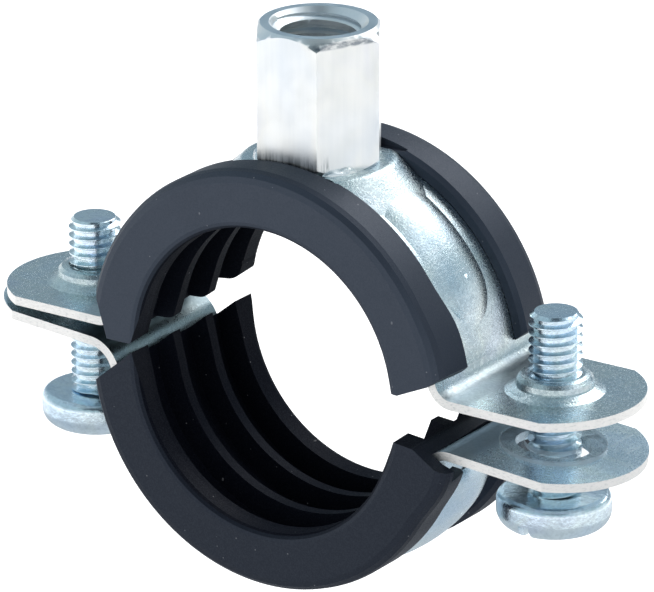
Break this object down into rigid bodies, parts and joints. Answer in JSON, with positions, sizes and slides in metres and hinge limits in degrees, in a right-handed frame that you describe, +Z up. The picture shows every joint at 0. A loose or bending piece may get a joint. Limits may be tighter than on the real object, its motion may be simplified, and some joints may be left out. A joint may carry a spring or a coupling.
{
  "type": "rubber lined pipe clamp",
  "caption": "Two-part steel pipe clamp with a ribbed rubber lining, bolted ears and a welded threaded nut that hangs it from a rod.",
  "frame": {"origin": "centre of the pipe seat in the upper half, halfway along the pipe axis", "axes": "+X from the left ear to the right ear, +Y along the pipe axis towards the back, +Z up towards the rod nut"},
  "size_m": [0.0804, 0.0226, 0.0616],
  "materials": {
    "zinc_strip": "zinc plated, bright with fine grain",
    "zinc_nut": "zinc plated, satin flats with tool marks",
    "zinc_screw": "zinc plated, bright",
    "lining_rubber": "matt extruded",
    "washer_plastic": "translucent"
  },
  "bodies": {
    "upper_half": {"connecting_nut": "zinc_nut", "upper_strap": "zinc_strip", "upper_liner": "lining_rubber"},
    "lower_half": {"lower_strap": "zinc_strip", "lower_liner": "lining_rubber", "left_washer": "washer_plastic", "right_washer": "washer_plastic"},
    "left_screw": {"left_screw": "zinc_screw"},
    "right_screw": {"right_screw": "zinc_screw"}
  },
  "joints": [
    {"name": "lower_swing", "type": "hinge", "parent": "upper_half", "child": "lower_half", "pos_m": [-0.0302, 0, -0.0005], "axis": [0, -1, 0], "range_deg": [0, 4]},
    {"name": "right_screw_travel", "type": "slide", "parent": "upper_half", "child": "right_screw", "axis": [0, 0, 1], "range_m": [0, 0.00786]},
    {"name": "left_screw_travel", "type": "slide", "parent": "upper_half", "child": "left_screw", "axis": [0, 0, 1], "range_m": [0, 0.0092]}
  ],
  "couplings": [
    {"joint": "right_screw_travel", "follows": "lower_swing", "m_per_rad": 0.1126}
  ]
}
